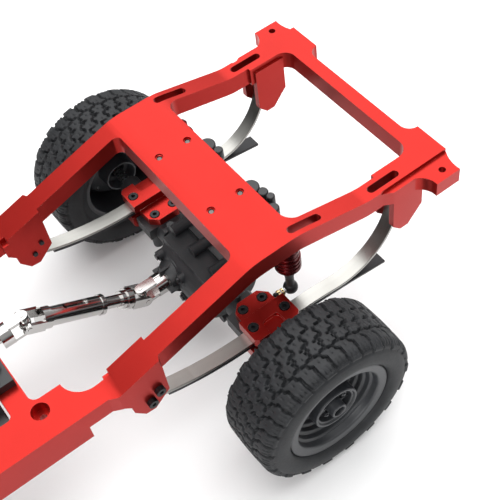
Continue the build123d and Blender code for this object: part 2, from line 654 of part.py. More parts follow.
# ---------------------------------------------------------------- steering
def knuckle(side):
    """Steering knuckle: kingpin bosses, bearing carrier and steering arms."""
    y = KINGPIN_Y
    body = cyl(5.6, (0, y - 1.5, AXLE_Z), (0, y + 3.6, AXLE_Z))
    body += cyl(2.6, (0, y, AXLE_Z - 8.2), (0, y, AXLE_Z + 8.2))
    body += block(-1.5, ARM_X, y - 2.2, y + 1.0, TIE_Z + 1.9, TIE_Z + 4.4)
    body += cyl(2.6, (ARM_X, y, TIE_Z + 1.9), (ARM_X, y, TIE_Z + 4.4))
    body += cyl(1.2, (ARM_X, y, TIE_Z - 2.6), (ARM_X, y, TIE_Z + 4.4))
    if side > 0:
        body += block(-1.5, HORN_R, y - 2.2, y + 1.0, AXLE_Z + 5.0, AXLE_Z + 7.8)
        body += cyl(2.4, (HORN_R, y, AXLE_Z + 5.0), (HORN_R, y, DRAG_Z - 1.6))
        body += cyl(1.2, (HORN_R, y, AXLE_Z + 6), (HORN_R, y, DRAG_Z + 2.4))
    body -= cyl(SHAFT_R + 0.6, (0, y - 9, AXLE_Z), (0, y + 9, AXLE_Z))
    body -= cyl(4.0, (0, y + 1.2, AXLE_Z), (0, y + 9, AXLE_Z))
    for s in (-1, 1):
        body -= cyl(1.3 + FIT, (0, y, AXLE_Z + s * 5.2), (0, y, AXLE_Z + s * 9))
    return body if side > 0 else flip(body)


def yoke_end():
    """C-shaped end of the front axle that carries the kingpins."""
    y = KINGPIN_Y
    body = block(-4.4, 4.4, 47.4, 49.6, AXLE_Z - 11.4, AXLE_Z + 11.4)
    for s in (-1, 1):
        z0, z1 = sorted((AXLE_Z + s * 8.5, AXLE_Z + s * 11.4))
        body += block(-4.4, 4.4, 47.4, y, z0, z1) + cyl(4.4, (0, y, z0), (0, y, z1))
        body += cyl(1.3, (0, y, AXLE_Z + s * 5.4), (0, y, AXLE_Z + s * 9))
    return body


def tie_rod():
    """Steel rod between the two steering arms."""
    y = KINGPIN_Y
    rod = cyl(1.5, (ARM_X, -y + 2, TIE_Z), (ARM_X, y - 2, TIE_Z))
    for s in (-1, 1):
        rod += cyl(2.7, (ARM_X, y * s, TIE_Z - 1.6), (ARM_X, y * s, TIE_Z + 1.6))
        rod += cyl(1.8, (ARM_X, (y - 10) * s, TIE_Z), (ARM_X, (y - 2) * s, TIE_Z))
        rod -= cyl(1.2 + FIT, (ARM_X, y * s, TIE_Z - 3), (ARM_X, y * s, TIE_Z + 3))
    return rod


def drag_link():
    """Rod from the servo horn to the left knuckle."""
    rod = cyl(1.1, (HORN_R, SERVO_Y + 2, DRAG_Z), (HORN_R, KINGPIN_Y - 2, DRAG_Z))
    for y in (SERVO_Y, KINGPIN_Y):
        rod += cyl(2.5, (HORN_R, y, DRAG_Z - 1.3), (HORN_R, y, DRAG_Z + 1.3))
    for y in (SERVO_Y, KINGPIN_Y):
        rod -= cyl(1.2 + FIT, (HORN_R, y, DRAG_Z - 3), (HORN_R, y, DRAG_Z + 3))
    return rod


def servo_horn():
    """Servo horn under the servo, with the pin of the drag link."""
    z = DRAG_Z + 1.9
    horn = cyl(3.2, (0, SERVO_Y, z), (0, SERVO_Y, z + 2.4))
    horn += block(0, HORN_R, SERVO_Y - 1.8, SERVO_Y + 1.8, z, z + 1.8)
    horn += cyl(2.4, (HORN_R, SERVO_Y, z), (HORN_R, SERVO_Y, z + 1.8))
    horn += cyl(1.2, (HORN_R, SERVO_Y, DRAG_Z - 2.0), (HORN_R, SERVO_Y, z + 1.0))
    horn += cyl(1.9, (0, SERVO_Y, z + 2), (0, SERVO_Y, SERVO_Z0 + 1.5))
    return horn


def steering_servo():
    """Micro servo, output shaft down, on the bracket beside the gear case."""
    y0, y1 = SERVO_Y0, SERVO_Y0 + 11
    body = block(SERVO_X0, SERVO_X1, y0, y1, SERVO_Z0, SERVO_Z0 + 15)
    body += block(SERVO_X0 - 4, SERVO_X1 + 4, y0, y1, SERVO_Z0 + 2.4, SERVO_Z0 + 4.0)
    body += cyl(5.6, (0, SERVO_Y, SERVO_Z0 - 0.8), (0, SERVO_Y, SERVO_Z0 + 1))
    body -= cyl(1.9 + FIT, (0, SERVO_Y, SERVO_Z0 - 2), (0, SERVO_Y, SERVO_Z0 + 2))
    for x in (SERVO_X0 - 2, SERVO_X1 + 2):
        for y in (y0 + 3, y1 - 3):
            body -= cyl(0.9, (x, y, SERVO_Z0), (x, y, SERVO_Z0 + 6))
    return body


# ---------------------------------------------------------------- gearbox and motor
CASE_X0, SPLIT_X, CASE_X1 = 95.0, 101.0, 109.5
MOTOR_Y, MOTOR_Z = 13.1, 64.0
MOTOR_R = 12.2
MOTOR_L = 38.0
SPUR_R = 15.0
SPUR_TEETH = 60
MOTOR_GEAR_R = 4.5
MOTOR_TEETH = 18
MESH = math.degrees(math.atan2(MOTOR_Y - PINION_Y, OUTPUT_Z - MOTOR_Z))


def gearbox_shell(x0, x1):
    """Outer shape of the gearbox: a big lobe for the spur gear, a smaller one for the motor."""
    spur, motor = (PINION_Y, OUTPUT_Z), (MOTOR_Y, MOTOR_Z)
    body = cyl(18.4, (x0, *spur), (x1, *spur)) + cyl(13.0, (x0, *motor), (x1, *motor))
    body += block(x0, x1, PINION_Y - 10, MOTOR_Y + 8, MOTOR_Z - 18, MOTOR_Z - 6)
    return body


def gearbox_cavity(x0, x1):
    spur, motor = (PINION_Y, OUTPUT_Z), (MOTOR_Y, MOTOR_Z)
    return cyl(16.4, (x0, *spur), (x1, *spur)) + cyl(6.2, (x0, *motor), (x1, *motor))


def output_bore(body):
    return body - cyl(SHAFT_R + FIT, (60, PINION_Y, OUTPUT_Z), (150, PINION_Y, OUTPUT_Z))


def gearbox_case():
    """Front half, with the motor seat."""
    body = gearbox_shell(SPLIT_X, CASE_X1) - gearbox_cavity(SPLIT_X - 1, CASE_X1 - 2)
    body -= cyl(3.4, (90, MOTOR_Y, MOTOR_Z), (120, MOTOR_Y, MOTOR_Z))
    body += cyl(5.0, (CASE_X1, PINION_Y, OUTPUT_Z), (CASE_X1 + 3, PINION_Y, OUTPUT_Z))
    return output_bore(body)


def gearbox_cover():
    """Rear half, with ribs around the output."""
    body = gearbox_shell(CASE_X0, SPLIT_X) - gearbox_cavity(CASE_X0 + 2, SPLIT_X + 1)
    return output_bore(body)


def gearbox_bracket():
    """Black bar on the cross member that the gearbox hangs from."""
    body = block(87.0, CASE_X0, -20, 20, MID_Z, MID_Z + 3.6)
    body += block(91.5, CASE_X0, -17, 17, MID_Z + 3.5, MID_Z + 6.5)
    for y in BRACKET_SCREW_Y:
        body -= cyl(2.4, (90.3, y, MID_Z + 3.6), (90.3, y, MID_Z + 9))
        body -= cyl(BOLT_R, (90.3, y, MID_Z - 1), (90.3, y, MID_Z + 9))
    return body


def bracket_screw(y):
    """Cross recessed pan head screw."""
    top = MID_Z + 3.6
    screw = cyl(2.1, (90.3, y, top), (90.3, y, top + 1.5)) + cyl(BOLT_R, (90.3, y, 61), (90.3, y, top))
    for dx, dy in ((1.2, 0.28), (0.28, 1.2)):
        screw -= block(90.3 - dx, 90.3 + dx, y - dy, y + dy, top + 0.7, top + 3)
    return screw


def drive_motor():
    """Can motor with a stepped end bell and two terminals."""
    x0, x1 = CASE_X1, CASE_X1 + MOTOR_L
    body = cyl(MOTOR_R, (x0, MOTOR_Y, MOTOR_Z), (x1 - 4, MOTOR_Y, MOTOR_Z))
    body += cyl(MOTOR_R - 0.8, (x1 - 4, MOTOR_Y, MOTOR_Z), (x1 - 1.5, MOTOR_Y, MOTOR_Z))
    body += cyl(4.0, (x1 - 1.5, MOTOR_Y, MOTOR_Z), (x1, MOTOR_Y, MOTOR_Z))
    body += cyl(3.3, (x0 - 1.8, MOTOR_Y, MOTOR_Z), (x0 + 1, MOTOR_Y, MOTOR_Z))
    for s in (-1, 1):
        z = MOTOR_Z + 8 * s
        body += block(x1 - 2, x1 + 1.6, MOTOR_Y - 1.2, MOTOR_Y + 1.2, z - 0.3, z + 0.3)
    return body - cyl(1.0 + FIT, (x0 - 3, MOTOR_Y, MOTOR_Z), (x0 + 6, MOTOR_Y, MOTOR_Z))


def motor_pinion():
    """Small gear on the motor shaft."""
    step = 360 / MOTOR_TEETH
    wheel = Rot(0, 0, (MESH + 180 + step / 2) % step) * gear(MOTOR_GEAR_R, MOTOR_TEETH, 5.0, 0.5)
    wheel = Pos(98.5, MOTOR_Y, MOTOR_Z) * Rot(0, 90, 0) * wheel
    return wheel + cyl(1.0, (98.5, MOTOR_Y, MOTOR_Z), (CASE_X1 + 5.5, MOTOR_Y, MOTOR_Z))


def spur_gear():
    """Large gear on the output shaft, with lightening holes."""
    wheel = Rot(0, 0, MESH % (360 / SPUR_TEETH)) * gear(SPUR_R, SPUR_TEETH, 4.0, SHAFT_R)
    for k in range(6):
        a = math.radians(60 * k)
        wheel -= Pos(9 * math.cos(a), 9 * math.sin(a), 2) * Cylinder(2.6, 6)
    return Pos(99.0, PINION_Y, OUTPUT_Z) * Rot(0, 90, 0) * wheel


def output_shaft():
    """Through shaft of the gearbox with a fork at each end."""
    y, z = PINION_Y, OUTPUT_Z
    shaft = cyl(SHAFT_R, (78, y, z), (WHEELBASE - 78, y, z))
    half = cyl(4.5, (OUTPUT_X + 5.9, y, z), (OUTPUT_X + 10.5, y, z))
    half += fork((OUTPUT_X, y, z), (1, 0, 0), (0, 0, 1))
    return shaft + half + across_middle(half)


def across_middle(shape):
    """The same piece for the front drive, mirrored about the middle of the wheelbase."""
    return mirror(shape, about=Plane.YZ.offset(MID_X))


# ---------------------------------------------------------------- write the nodes
def write_rear_and_front(end):
    here = lambda shape: at_axle(shape, end)
    drive = (lambda shape: shape) if end == "rear" else across_middle
    save(f"{end}_main_leaves", *both_sides(here(main_leaf())))
    save(f"{end}_helper_leaves", *both_sides(here(helper_leaf())))
    save(f"{end}_shock_bodies", *both_sides(here(shock_body(1))))
    save(f"{end}_axle_housing", here(axle_housing(end)))
    save(f"{end}_diff_cover", here(toward(diff_cover(), end)))
    screws = clamp_screws() + [toward(s, end) for s in cover_screws()] + both_sides(ball_stud())
    save(f"{end}_axle_fasteners", *[here(s) for s in screws])
    save(f"{end}_spring_clamps", *both_sides(here(spring_clamp())))
    save(f"{end}_spring_seats", *both_sides(here(spring_seat())))
    nose = tube(5.0, SHAFT_R + 0.02, (10.5, PINION_Y, AXLE_Z), (15.6, PINION_Y, AXLE_Z))
    save(f"{end}_pinion_bearing", here(toward(nose, end)))
    save(f"{end}_pinion_yoke", here(toward(pinion_yoke(), end)))
    save(f"{end}_shaft_joint", drive(joint_ball()))
    save(f"{end}_shaft_sleeve", drive(shaft_sleeve()))
    save(f"{end}_shaft_spline", drive(shaft_spline()))
    for name, side in SIDES.items():
        save(f"{end}_{name}_shock_rod", here(shock_rod(side)))
        save(f"{end}_{name}_tyre", here(tyre(WHEEL_Y * side)))
        save(f"{end}_{name}_wheel", here(wheel_disc(WHEEL_Y * side, side)))


os.makedirs("parts", exist_ok=True)
save("chassis_frame", chassis_frame())
screws = hanger_hardware()
screws += [at_axle(shock_screw(s), end) for end in AXLE_XS for s in (1, -1)]
screws += [bracket_screw(y) for y in BRACKET_SCREW_Y]
save("frame_screws", *screws)
for end_name in AXLE_XS:
    write_rear_and_front(end_name)
save("rear_wheel_bearings", wheel_bearing(1), wheel_bearing(-1))
save("rear_axle_shaft", rear_axle_shaft())
save("front_axle_shaft", at_axle(inner_shaft("front", 51.2), "front"))
for side_name, s in SIDES.items():
    save(f"front_{side_name}_stub_shaft", at_axle(stub_shaft(s), "front"))
    save(f"front_{side_name}_knuckle", at_axle(knuckle(s), "front"))
save("tie_rod", at_axle(tie_rod(), "front"))
save("drag_link", at_axle(drag_link(), "front"))
save("servo_horn", at_axle(servo_horn(), "front"))
save("steering_servo", at_axle(steering_servo(), "front"))
save("gearbox_case", gearbox_case())
save("gearbox_cover", gearbox_cover())
save("gearbox_bracket", gearbox_bracket())
save("drive_motor", drive_motor())
save("motor_pinion", motor_pinion())
save("spur_gear", spur_gear())
save("output_shaft", output_shaft())
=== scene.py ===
import json
import math
import random

import bmesh
import bpy
from mathutils import Matrix, Vector


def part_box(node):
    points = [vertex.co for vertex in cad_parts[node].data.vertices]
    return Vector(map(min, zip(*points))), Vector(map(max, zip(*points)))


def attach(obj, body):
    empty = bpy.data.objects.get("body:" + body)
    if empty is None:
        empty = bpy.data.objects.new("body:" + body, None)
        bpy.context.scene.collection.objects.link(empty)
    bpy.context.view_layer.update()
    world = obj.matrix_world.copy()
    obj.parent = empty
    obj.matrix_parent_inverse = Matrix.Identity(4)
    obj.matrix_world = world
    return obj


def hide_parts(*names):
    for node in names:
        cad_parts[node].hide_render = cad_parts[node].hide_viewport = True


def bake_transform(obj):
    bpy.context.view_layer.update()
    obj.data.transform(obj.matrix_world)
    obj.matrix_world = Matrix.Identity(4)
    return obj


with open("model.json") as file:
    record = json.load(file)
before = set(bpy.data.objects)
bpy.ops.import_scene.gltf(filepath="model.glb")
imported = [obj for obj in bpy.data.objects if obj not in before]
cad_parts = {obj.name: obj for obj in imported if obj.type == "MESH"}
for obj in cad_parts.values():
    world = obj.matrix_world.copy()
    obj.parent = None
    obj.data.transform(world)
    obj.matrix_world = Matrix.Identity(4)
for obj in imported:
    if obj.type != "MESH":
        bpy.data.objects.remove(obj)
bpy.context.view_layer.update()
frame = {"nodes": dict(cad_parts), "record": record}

NODES = frame["nodes"]
MM = 0.001
GRAIN_DEPTH = 0.06 * MM    # height of the fine grain in the materials

# ---------------------------------------------------------------- places, in metres
REAR_X = (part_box("rear_left_tyre")[0].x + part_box("rear_left_tyre")[1].x) / 2
FRONT_X = (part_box("front_left_tyre")[0].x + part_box("front_left_tyre")[1].x) / 2
AXLE_XS = {"rear": REAR_X, "front": FRONT_X}
AXLE_Z = (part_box("rear_left_tyre")[0].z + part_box("rear_left_tyre")[1].z) / 2
WHEEL_Y = (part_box("rear_left_tyre")[0].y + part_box("rear_left_tyre")[1].y) / 2
SIDES = {"left": 1, "right": -1}


# ---------------------------------------------------------------- materials
def new_material(name):
    """A node material, with its nodes, links and main shader."""
    material = bpy.data.materials.new(name)
    material.use_nodes = True
    nodes, links = material.node_tree.nodes, material.node_tree.links
    return material, nodes, links, nodes["Principled BSDF"]


def surface(name, color, rough, metal=0.0, grain=0.0, grain_scale=3000.0, stretch=(1, 1, 1),
            spread=0.06, blotch=0.12, blotch_scale=60.0, specular=0.5):
    """One procedural material: colour blotches, uneven gloss and a fine grain in the bump."""
    material, nodes, links, shader = new_material(name)
    shader.inputs["Metallic"].default_value = metal
    shader.inputs["Specular IOR Level"].default_value = specular
    coords = nodes.new("ShaderNodeTexCoord")
    mapping = nodes.new("ShaderNodeMapping")
    mapping.inputs["Scale"].default_value = stretch
    links.new(coords.outputs["Object"], mapping.inputs["Vector"])

    def noise(scale, detail):
        node = nodes.new("ShaderNodeTexNoise")
        node.inputs["Scale"].default_value = scale
        node.inputs["Detail"].default_value = detail
        links.new(mapping.outputs["Vector"], node.inputs["Vector"])
        return node

    cloud, fine = noise(blotch_scale, 4.0), noise(grain_scale, 3.0)
    ramp = nodes.new("ShaderNodeValToRGB")
    dark = [max(0.0, c * (1 - blotch)) for c in color]
    light = [min(1.0, c * (1 + blotch)) for c in color]
    ramp.color_ramp.elements[0].position = 0.3
    ramp.color_ramp.elements[1].position = 0.7
    ramp.color_ramp.elements[0].color = (*dark, 1)
    ramp.color_ramp.elements[1].color = (*light, 1)
    links.new(cloud.outputs["Fac"], ramp.inputs["Fac"])
    links.new(ramp.outputs["Color"], shader.inputs["Base Color"])
    gloss = nodes.new("ShaderNodeMapRange")
    gloss.inputs["To Min"].default_value = max(0.02, rough - spread)
    gloss.inputs["To Max"].default_value = min(1.0, rough + spread)
    links.new(fine.outputs["Fac"], gloss.inputs["Value"])
    links.new(gloss.outputs["Result"], shader.inputs["Roughness"])
    if grain:
        bump = nodes.new("ShaderNodeBump")
        bump.inputs["Strength"].default_value = grain
        bump.inputs["Distance"].default_value = GRAIN_DEPTH
        links.new(fine.outputs["Fac"], bump.inputs["Height"])
        links.new(bump.outputs["Normal"], shader.inputs["Normal"])
    return material


RED = surface("red_anodised", (0.36, 0.015, 0.011), 0.30, metal=0.85, grain=0.10, grain_scale=5200,
              blotch=0.04)
# lighter red for the chamfers of red parts: a painted highlight along the edges
RED_EDGE_HIGHLIGHT = surface("red_painted_edge_highlight", (0.92, 0.42, 0.38), 0.34, metal=0.45, grain=0.06, grain_scale=4200,
                   blotch=0.05)
MAROON = surface("maroon_anodised", (0.11, 0.010, 0.012), 0.26, metal=0.8, grain=0.08, grain_scale=4000)
STEEL = surface("spring_steel", (0.36, 0.355, 0.335), 0.32, metal=1.0, grain=0.05, grain_scale=900,
                stretch=(0.06, 6, 1), spread=0.1, blotch=0.05)
BLACK_STEEL = surface("black_oxide", (0.022, 0.022, 0.024), 0.34, metal=0.7, grain=0.1,
                      grain_scale=2600)
HELPER = surface("black_leaf", (0.012, 0.012, 0.015), 0.38, metal=0.3, grain=0.15, grain_scale=1400)
PLASTIC = surface("black_plastic", (0.016, 0.017, 0.019), 0.46, grain=0.35, grain_scale=2600,
                  blotch=0.15)
CHROME = surface("chrome", (0.48, 0.47, 0.46), 0.13, metal=1.0, grain=0.03, grain_scale=700,
                 spread=0.04, blotch=0.03)
TURNED = surface("turned_steel", (0.62, 0.62, 0.62), 0.28, metal=1.0, grain=0.08, grain_scale=1200)
SCREW_END = surface("screw_end", (0.13, 0.12, 0.115), 0.42, metal=0.8, grain=0.1, grain_scale=2600)
BRASS = surface("brass", (0.86, 0.66, 0.36), 0.2, metal=1.0, grain=0.05, grain_scale=1200)
RUBBER = surface("tyre_rubber", (0.0125, 0.0135, 0.0155), 0.62, grain=0.5, grain_scale=1500,
                 blotch=0.25, blotch_scale=180, spread=0.1, specular=0.4)
WHEEL = surface("wheel_black", (0.026, 0.028, 0.032), 0.42, metal=0.0, grain=0.12, grain_scale=3200,
                spread=0.06, specular=0.6)
GEAR = surface("gear_plastic", (0.05, 0.05, 0.055), 0.5, grain=0.2, grain_scale=2600)
CAN = surface("motor_can", (0.55, 0.56, 0.57), 0.3, metal=1.0, grain=0.1, grain_scale=1300,
              stretch=(0.2, 1, 1))
LOOKS = {
    "red_anodised": RED, "maroon_anodised": MAROON, "spring_steel": STEEL, "black_steel": BLACK_STEEL,
    "black_plastic": PLASTIC, "chrome": CHROME, "steel": TURNED, "tyre_rubber": RUBBER,
    "wheel_black": WHEEL, "motor_can": CAN, "gear_plastic": GEAR,
}
SLOT_OF = {part["node"]: part["material_slot"] for part in frame["record"]["subparts"]}
for node_name, node in NODES.items():
    node.data.materials.clear()
    node.data.materials.append(LOOKS[SLOT_OF[node_name]])


# ---------------------------------------------------------------- mesh helpers
def add_piece(name, bm, material, smooth=35.0):
    """Make one object of a bmesh, with its material and its shading."""
    bmesh.ops.recalc_face_normals(bm, faces=bm.faces)
    mesh = bpy.data.meshes.new(name)
    bm.to_mesh(mesh)
    bm.free()
    mesh.materials.append(material)
    piece = bpy.data.objects.new(name, mesh)
    bpy.context.scene.collection.objects.link(piece)
    shade(piece, smooth)
    return piece


def shade(piece, angle):
    """Smooth shading with the edges above this angle kept sharp."""
    mesh = piece.data
    mesh.shade_smooth()
    mesh.set_sharp_from_angle(angle=math.radians(angle))


def apply_modifiers(piece):
    """Bake the modifiers of a piece into its mesh."""
    graph = bpy.context.evaluated_depsgraph_get()
    graph.update()
    baked = bpy.data.meshes.new_from_object(piece.evaluated_get(graph))
    piece.modifiers.clear()
    piece.data = baked


def bevel(piece, width, segments=2, angle=32, edge_highlight=None):
    """Ease the edges above the angle; flat faces keep their own normals."""
    modifier = piece.modifiers.new("edges", "BEVEL")
    modifier.width, modifier.segments = width, segments
    modifier.limit_method, modifier.angle_limit = "ANGLE", math.radians(angle)
    modifier.use_clamp_overlap = True
    # the chamfer faces can take a second, lighter look: a painted highlight along the edges
    if edge_highlight:
        piece.data.materials.append(edge_highlight)
        modifier.material = 1
    even = piece.modifiers.new("even", "WEIGHTED_NORMAL")
    even.weight, even.keep_sharp = 100, True
    apply_modifiers(piece)


def lathe(bm, profile, segments):
    """Turn a closed loop of (radius, height) points, in mm, about the local Z axis."""
    rings = []
    for k in range(segments):
        a = 2 * math.pi * k / segments
        rings.append([bm.verts.new((r * math.cos(a) * MM, r * math.sin(a) * MM, h * MM))
                      for r, h in profile])
    count = len(profile)
    for k in range(segments):
        here, there = rings[k], rings[(k + 1) % segments]
        for i in range(count):
            j = (i + 1) % count
            bm.faces.new((here[i], there[i], there[j], here[j]))


def axis_frame(place, direction):
    """A matrix whose Z axis points along direction, placed in mm."""
    turn = Vector(direction).to_track_quat("Z", "Y").to_matrix().to_4x4()
    return Matrix.Translation(Vector(place) * MM) @ turn


def rounded(profile, radius, steps=3):
    """Round every corner of a closed (radius, height) loop."""
    out, count = [], len(profile)
    for i in range(count):
        p, q, r = (Vector(profile[(i + k) % count]) for k in (-1, 0, 1))
        a, b = p - q, r - q
        cut = min(radius, a.length * 0.45, b.length * 0.45)
        start, end = q + a.normalized() * cut, q + b.normalized() * cut
        for k in range(steps + 1):
            t = k / steps
            out.append(tuple(start.lerp(q, t).lerp(q.lerp(end, t), t)))
    return out


# ---------------------------------------------------------------- tyres
TYRE_R = 33.4
PITCHES = 36
PITCH = 2 * math.pi * TYRE_R / PITCHES
ROUND_STEPS = 16           # samples along each pitch
TREAD_DEPTH = 1.5
SIPE_DEPTH = 0.5
LUG_DEPTH = 1.3            # grooves between the shoulder lugs
WALL_R = 29.6              # the tread pattern ends at this radius
LUG_GROOVE = {-1: 0.6, 1: 5.0}  # where the lug groove stands along the pitch, by side

# middle lines of the grooves in one pitch: (distance across, distance along), in mm
HOOKS = [
    [(-9.5, 0.6), (-7.6, 0.3), (-6.2, 1.2), (-5.0, 0.9), (-4.8, -1.3)],
    [(-4.2, 2.9), (-2.9, 2.5), (-1.8, 3.5), (-0.5, 3.1), (-0.3, 1.0)],
    [(0.5, -0.3), (0.6, 1.3), (1.8, 1.8), (2.2, 0.6), (3.5, 1.3), (4.6, 0.9), (4.8, -1.2)],
    [(5.1, 1.9), (5.3, 3.6), (6.9, 4.0), (7.7, 5.2), (9.6, 5.0)],
]
SIPES = [[(-8.7, 3.2), (-7.3, 3.5)], [(-3.6, 5.4), (-2.2, 5.7)], [(2.2, 3.8), (3.6, 4.1)],
         [(6.6, 1.6), (8.0, 1.9)]]


def crown(v):
    """Tread radius at the distance v from the centre plane, in mm."""
    v = abs(v)
    return TYRE_R - 0.0035 * v * v - 0.14 * max(0.0, v - 9.8) ** 2


def tyre_line():
    """Outer line of one tyre half, from the centre plane to the bead: (radius, across)."""
    tread = [(crown(v), v) for v in spaced(0.0, 12.6, 33)]
    return tread + [(31.6, 13.1), (31.1, 13.42), (30.5, 13.5), (30.1, 13.2), (29.7, 13.2),
                    (29.35, 13.55), (28.7, 13.8), (27.7, 14.08), (26.4, 14.27), (25.2, 14.25), (24.1, 14.0),
                    (23.2, 13.5), (22.7, 12.9), (22.35, 12.2), (22.2, 11.4), (21.0, 10.9),
                    (20.5, 10.6), (19.45, 10.2)]


def spaced(a, b, count):
    """Evenly spaced values from a to b."""
    return [a + (b - a) * k / (count - 1) for k in range(count)]


def gap(p, q, r):
    """Distance of the point p from the segment q to r."""
    along = (r[0] - q[0], r[1] - q[1])
    size = along[0] ** 2 + along[1] ** 2
    t = ((p[0] - q[0]) * along[0] + (p[1] - q[1]) * along[1]) / size
    t = min(1.0, max(0.0, t))
    return math.hypot(p[0] - q[0] - along[0] * t, p[1] - q[1] - along[1] * t)


def near_line(p, line):
    """Distance of p from a groove line, which repeats every pitch."""
    return min(gap((p[0], p[1] + turn * PITCH), q, r)
               for turn in (-1, 0, 1) for q, r in zip(line, line[1:]))


def carve(distance, half_width, wall):
    """1 on the floor of a groove, 0 outside it."""
    t = min(1.0, max(0.0, (half_width + wall - distance) / wall))
    return t * t * (3 - 2 * t)


def tread_drop(r, v, along, odd):
    """Depth of the tread pattern below the outer surface, in mm."""
    drop = 0.0
    if r < WALL_R:
        return drop
    if abs(v) < 10.6:
        for line in HOOKS:
            drop = max(drop, TREAD_DEPTH * carve(near_line((v, along), line), 0.30, 0.30))
        for line in SIPES:
            drop = max(drop, SIPE_DEPTH * carve(near_line((v, along), line), 0.04, 0.26))
    if abs(v) > 8.9:
        middle = LUG_GROOVE[-1 if v < 0 else 1] + 0.10 * (abs(v) - 9.0)
        away = abs((along - middle + PITCH / 2) % PITCH - PITCH / 2)
        reach = min(1.0, (r - WALL_R) / 1.2)
        drop = max(drop, LUG_DEPTH * carve(away, 0.38, 0.34) * reach)
        for sipe in (1.95, 3.7):
            away = abs((along - middle - sipe + PITCH / 2) % PITCH - PITCH / 2)
            inside = 10.2 < abs(v) < 12.9
            drop = max(drop, 0.45 * carve(away, 0.04, 0.24) * inside)
        if odd and abs(v) > 12.2:
            drop = max(drop, 0.55 * min(1.0, (abs(v) - 12.2) / 0.4) * reach)
    return drop


def tyre_mesh(rng):
    """A moulded tyre: its outer line turned round, carved by the tread pattern."""
    half = tyre_line()
    line = [(r, -v) for r, v in reversed(half[1:])] + half
    outward = []
    for i in range(len(line)):
        a, b = line[max(i - 1, 0)], line[min(i + 1, len(line) - 1)]
        t = Vector((b[0] - a[0], b[1] - a[1])).normalized()
        outward.append((t.y, -t.x))
    drops = {odd: [[tread_drop(r, v, k * PITCH / ROUND_STEPS, odd) for r, v in line]
                   for k in range(ROUND_STEPS)] for odd in (0, 1)}
    bm = bmesh.new()
    rings = []
    for k in range(PITCHES * ROUND_STEPS):
        a = 2 * math.pi * k / (PITCHES * ROUND_STEPS)
        odd = (k // ROUND_STEPS) % 2
        row = drops[odd][k % ROUND_STEPS]
        ring = []
        for (r, v), (out_r, out_v), drop in zip(line, outward, row):
            if r > 28 and drop == 0.0:
                drop = rng.uniform(0.0, 0.02)
            r_in, v_in = r - out_r * drop, v - out_v * drop
            ring.append(bm.verts.new((r_in * math.cos(a) * MM, v_in * MM, r_in * math.sin(a) * MM)))
        rings.append(ring)
    for here, there in zip(rings, rings[1:] + rings[:1]):
        for i in range(len(line) - 1):
            bm.faces.new((here[i], here[i + 1], there[i + 1], there[i]))
        bm.faces.new((here[-1], here[0], there[0], there[-1]))
    return bm


# ---------------------------------------------------------------- wheels
HUB_BOLT_R = 5.3


def wheel_bm():
    """The turned wheel, its outboard side towards +Z before it is stood up."""
    bm = bmesh.new()
    rim = [(22.15, 11.3), (22.05, 12.3), (21.5, 12.55), (18.6, 12.1), (18.15, 11.5), (17.9, 9.2),
           (17.1, 9.0), (16.8, 8.6), (16.6, 6.9), (15.7, 6.7), (15.3, 6.3), (15.1, 4.6), (14.3, 4.4),
           (13.9, 3.9), (13.6, 2.6), (10.2, 2.4), (9.6, 2.9), (9.45, 10.3), (9.2, 10.7), (8.5, 10.7),
           (8.3, 10.4), (8.1, 9.9), (7.5, 9.9), (7.3, 9.5), (7.2, 7.2), (3.3, 7.2), (3.15, 12.0),
           (2.9, 12.3), (2.35, 12.3), (2.2, 12.0), (2.2, 6.4), (0.02, 6.4), (0.02, 5.2), (4.2, 5.2),
           (4.2, -1.0), (6.4, -1.0), (6.4, -6.4), (7.2, -6.4), (7.6, 0.4), (13.6, 1.2), (14.6, 3.2),
           (16.4, 5.6), (17.3, 7.6), (17.4, -9.3), (18.0, -9.8), (20.3, -9.9), (20.65, -9.4),
           (19.3, -8.4), (19.3, 10.0), (20.6, 10.9)]
    lathe(bm, rounded(rim, 0.3, 2), 128)
    return bm


def cutters_bm(radius, around, count, z0, z1):
    """A ring of upright cylinders to cut holes with, in mm."""
    bm = bmesh.new()
    for k in range(count):
        a = 2 * math.pi * k / count
        matrix = axis_frame((around * math.cos(a), around * math.sin(a), (z0 + z1) / 2), (0, 0, 1))
        bmesh.ops.create_cone(bm, cap_ends=True, segments=20, radius1=radius * MM, radius2=radius * MM,
                              depth=(z1 - z0) * MM, matrix=matrix)
    return bm


def small_cone(bm, place, direction, radius, height, segments=6, top=None):
    """A short closed prism standing on place, in mm."""
    top = radius if top is None else top
    matrix = axis_frame(place, direction) @ Matrix.Translation((0, 0, height / 2 * MM))
    bmesh.ops.create_cone(bm, cap_ends=True, segments=segments, radius1=radius * MM,
                          radius2=top * MM, depth=height * MM, matrix=matrix)


def cut(piece, bm):
    """Subtract the closed shapes of bm from a piece."""
    mesh = bpy.data.meshes.new("cutter")
    bmesh.ops.recalc_face_normals(bm, faces=bm.faces)
    bm.to_mesh(mesh)
    bm.free()
    cutter = bpy.data.objects.new("cutter", mesh)
    bpy.context.scene.collection.objects.link(cutter)
    modifier = piece.modifiers.new("cut", "BOOLEAN")
    modifier.operation, modifier.object, modifier.solver = "DIFFERENCE", cutter, "EXACT"
    apply_modifiers(piece)
    bpy.data.objects.remove(cutter)
    bpy.data.meshes.remove(mesh)


def add_hub_bolts(bm):
    """Five bolts and five ribs in the open hub."""
    for k in range(5):
        a = 2 * math.pi * (k + 0.5) / 5 + 0.3
        place = Vector((HUB_BOLT_R * math.cos(a), HUB_BOLT_R * math.sin(a), 7.1))
        small_cone(bm, place, (0, 0, 1), 1.25, 1.5, 24, 1.1)
        small_cone(bm, place + Vector((0, 0, 1.4)), (0, 0, 1), 0.7, 0.5, 6, 0.6)
        b = a + math.pi / 5
        rib = Matrix.Rotation(b, 4, "Z") @ Matrix.Translation(Vector((HUB_BOLT_R, 0, 7.6)) * MM)
        bmesh.ops.create_cube(bm, size=MM, matrix=rib @ Matrix.Diagonal((4.1, 0.7, 1.0, 1)))


